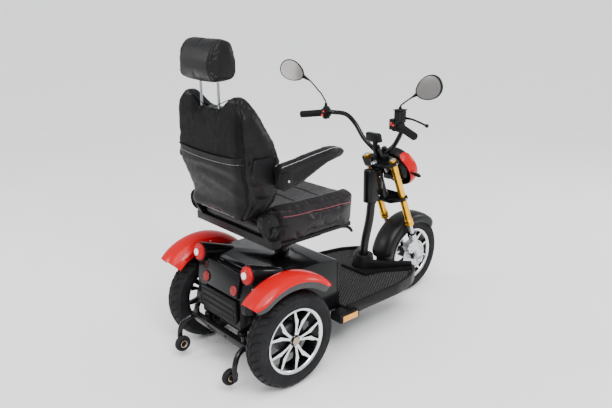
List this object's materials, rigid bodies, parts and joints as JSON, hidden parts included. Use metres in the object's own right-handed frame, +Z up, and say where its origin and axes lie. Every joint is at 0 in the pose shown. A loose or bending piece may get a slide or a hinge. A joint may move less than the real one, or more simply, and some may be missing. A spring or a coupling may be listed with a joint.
{
  "type": "mobility scooter",
  "caption": "Three-wheeled mobility scooter with swivelling captain seat, handlebar steering, telescopic front fork and anti-tip wheels.",
  "frame": {"origin": "on the ground under the middle of the scooter's length and width", "axes": "+Z up, -Y towards the front wheel, -X towards the rider's right"},
  "size_m": [0.9586, 1.5, 1.3658],
  "materials": {
    "black_frame": "gloss",
    "black_gloss": "gloss",
    "black_matte": "satin",
    "red_gloss": "gloss",
    "red_lens": "gloss",
    "tyre_rubber": "matte",
    "grip_rubber": "matte",
    "mat_rubber": "matte",
    "alloy": "machined",
    "fork_gold": "anodised",
    "fork_silver": "satin",
    "black_leather": "satin",
    "battery_case": "matte",
    "drive_metal": "satin",
    "chrome_rod": "polished"
  },
  "bodies": {
    "chassis": {"rail_left": "black_frame", "rail_right": "black_frame", "floor_pan": "black_frame", "battery_pack": "battery_case", "seat_tower": "black_frame", "transaxle": "drive_metal", "body_shell": "black_gloss", "rear_panel": "black_gloss", "lower_panel": "black_matte", "fender_left": "red_gloss", "fender_right": "red_gloss", "tail_lamp_left": "red_lens", "tail_lamp_right": "red_lens", "anti_tip_frame": "black_frame", "foot_deck": "black_matte", "foot_mat": "mat_rubber", "column_boot": "black_matte", "steering_column": "black_frame", "steering_neck": "black_gloss"},
    "rear_wheel_left": {"tyre_rear_left": "tyre_rubber", "rim_rear_left": "alloy"},
    "rear_wheel_right": {"tyre_rear_right": "tyre_rubber", "rim_rear_right": "alloy"},
    "caster_left": {"anti_tip_wheel_left": "black_matte"},
    "caster_right": {"anti_tip_wheel_right": "black_matte"},
    "steering": {"fork_tube_left": "fork_gold", "fork_tube_right": "fork_gold", "lower_clamp": "black_frame", "upper_clamp": "black_frame", "handlebar": "black_frame", "grip_left": "grip_rubber", "switch_pod_left": "black_matte", "switch_pod_right": "black_matte", "headlight_housing": "black_gloss", "headlight_cowl": "red_gloss", "display": "black_gloss"},
    "fork_lower": {"fork_leg_left": "fork_silver", "fork_leg_right": "fork_silver", "front_fender": "black_matte"},
    "front_wheel": {"tyre_front": "tyre_rubber", "rim_front": "alloy"},
    "throttle": {"grip_right": "grip_rubber"},
    "brake": {"brake_lever": "black_frame"},
    "mirror_l": {"mirror_left": "black_gloss"},
    "mirror_r": {"mirror_right": "black_gloss"},
    "key": {"ignition_key": "chrome_rod"},
    "horn": {"horn_button": "red_gloss"},
    "seat_swivel": {"swivel_head": "black_frame"},
    "seat": {"seat_pan": "black_frame", "seat_cushion": "black_leather"},
    "backrest": {"backrest_pad": "black_leather", "armrest_bracket_left": "black_frame", "armrest_bracket_right": "black_frame"},
    "headrest": {"headrest_pad": "black_leather", "headrest_posts": "chrome_rod"},
    "arm_left": {"armrest_left": "black_leather"},
    "arm_right": {"armrest_right": "black_leather"},
    "lever_swivel": {"swivel_lever": "black_frame"},
    "lever_slide": {"slide_lever": "black_frame"},
    "lever_recline": {"recline_lever": "black_frame"}
  },
  "joints": [
    {"name": "rear_wheel_left_spin", "type": "hinge", "parent": "chassis", "child": "rear_wheel_left", "pos_m": [0.289, 0.495, 0.205], "axis": [1, 0, 0], "continuous": true},
    {"name": "rear_wheel_right_spin", "type": "hinge", "parent": "chassis", "child": "rear_wheel_right", "pos_m": [-0.289, 0.495, 0.205], "axis": [1, 0, 0], "continuous": true},
    {"name": "caster_left_spin", "type": "hinge", "parent": "chassis", "child": "caster_left", "pos_m": [0.177, 0.715, 0.067], "axis": [1, 0, 0], "continuous": true},
    {"name": "caster_right_spin", "type": "hinge", "parent": "chassis", "child": "caster_right", "pos_m": [-0.177, 0.715, 0.067], "axis": [1, 0, 0], "continuous": true},
    {"name": "steer", "type": "hinge", "parent": "chassis", "child": "steering", "pos_m": [0, -0.33769, 0.6062], "axis": [0, 0.3827, 0.9239], "range_deg": [-28, 28]},
    {"name": "fork_slide", "type": "slide", "parent": "steering", "child": "fork_lower", "axis": [0, 0.3827, 0.9239], "range_m": [0, 0.05], "stiffness_N_per_m": 16000, "springref_m": -0.03},
    {"name": "front_wheel_spin", "type": "hinge", "parent": "fork_lower", "child": "front_wheel", "pos_m": [0, -0.545, 0.205], "axis": [1, 0, 0], "continuous": true},
    {"name": "throttle_twist", "type": "hinge", "parent": "steering", "child": "throttle", "pos_m": [-0.245, -0.177, 0.957], "axis": [-0.9253, 0.351, -0.1436], "range_deg": [0, 60], "stiffness_Nm_per_rad": 0.35, "springref_deg": -17.19},
    {"name": "brake_squeeze", "type": "hinge", "parent": "steering", "child": "brake", "pos_m": [-0.206, -0.23, 0.985], "axis": [0, 0, -1], "range_deg": [0, 14], "stiffness_Nm_per_rad": 1.2, "springref_deg": -28.65},
    {"name": "mirror_left_turn", "type": "hinge", "parent": "steering", "child": "mirror_l", "pos_m": [0.23, -0.179, 0.9893], "axis": [0, 0, 1], "range_deg": [-25, 25]},
    {"name": "mirror_right_turn", "type": "hinge", "parent": "steering", "child": "mirror_r", "pos_m": [-0.228, -0.19, 1.0253], "axis": [0, 0, 1], "range_deg": [-25, 25]},
    {"name": "key_turn", "type": "hinge", "parent": "steering", "child": "key", "pos_m": [0, -0.27672, 0.73249], "axis": [0, 0.3827, 0.9239], "range_deg": [0, 90]},
    {"name": "horn_press", "type": "slide", "parent": "steering", "child": "horn", "axis": [0, -1, 0], "range_m": [0, 0.002], "stiffness_N_per_m": 250, "springref_m": -0.003},
    {"name": "seat_turn", "type": "hinge", "parent": "chassis", "child": "seat_swivel", "pos_m": [0, 0.297, 0.5], "axis": [0, 0, 1], "range_deg": [-90, 90]},
    {"name": "seat_slide", "type": "slide", "parent": "seat_swivel", "child": "seat", "axis": [0, 1, 0], "range_m": [-0.05, 0.05]},
    {"name": "backrest_recline", "type": "hinge", "parent": "seat", "child": "backrest", "pos_m": [0, 0.56, 0.7], "axis": [-1, 0, 0], "range_deg": [-15, 20]},
    {"name": "headrest_height", "type": "slide", "parent": "backrest", "child": "headrest", "axis": [0, 0, 1], "range_m": [0, 0.07]},
    {"name": "armrest_left_flip", "type": "hinge", "parent": "backrest", "child": "arm_left", "pos_m": [0.2835, 0.515, 0.862], "axis": [-1, 0, 0], "range_deg": [0, 90]},
    {"name": "armrest_right_flip", "type": "hinge", "parent": "backrest", "child": "arm_right", "pos_m": [-0.2835, 0.515, 0.862], "axis": [-1, 0, 0], "range_deg": [0, 90]},
    {"name": "swivel_lever_lift", "type": "hinge", "parent": "seat", "child": "lever_swivel", "pos_m": [-0.15, 0.16, 0.5525], "axis": [0, 0, 1], "range_deg": [0, 12], "stiffness_Nm_per_rad": 0.6, "springref_deg": -28.65},
    {"name": "slide_lever_lift", "type": "hinge", "parent": "seat", "child": "lever_slide", "pos_m": [0.15, 0.16, 0.5525], "axis": [0, 0, -1], "range_deg": [0, 12], "stiffness_Nm_per_rad": 0.6, "springref_deg": -28.65},
    {"name": "recline_lever_lift", "type": "hinge", "parent": "seat", "child": "lever_recline", "pos_m": [-0.25, 0.535, 0.655], "axis": [-1, 0, 0], "range_deg": [0, 30], "stiffness_Nm_per_rad": 0.8, "springref_deg": -34.38}
  ]
}
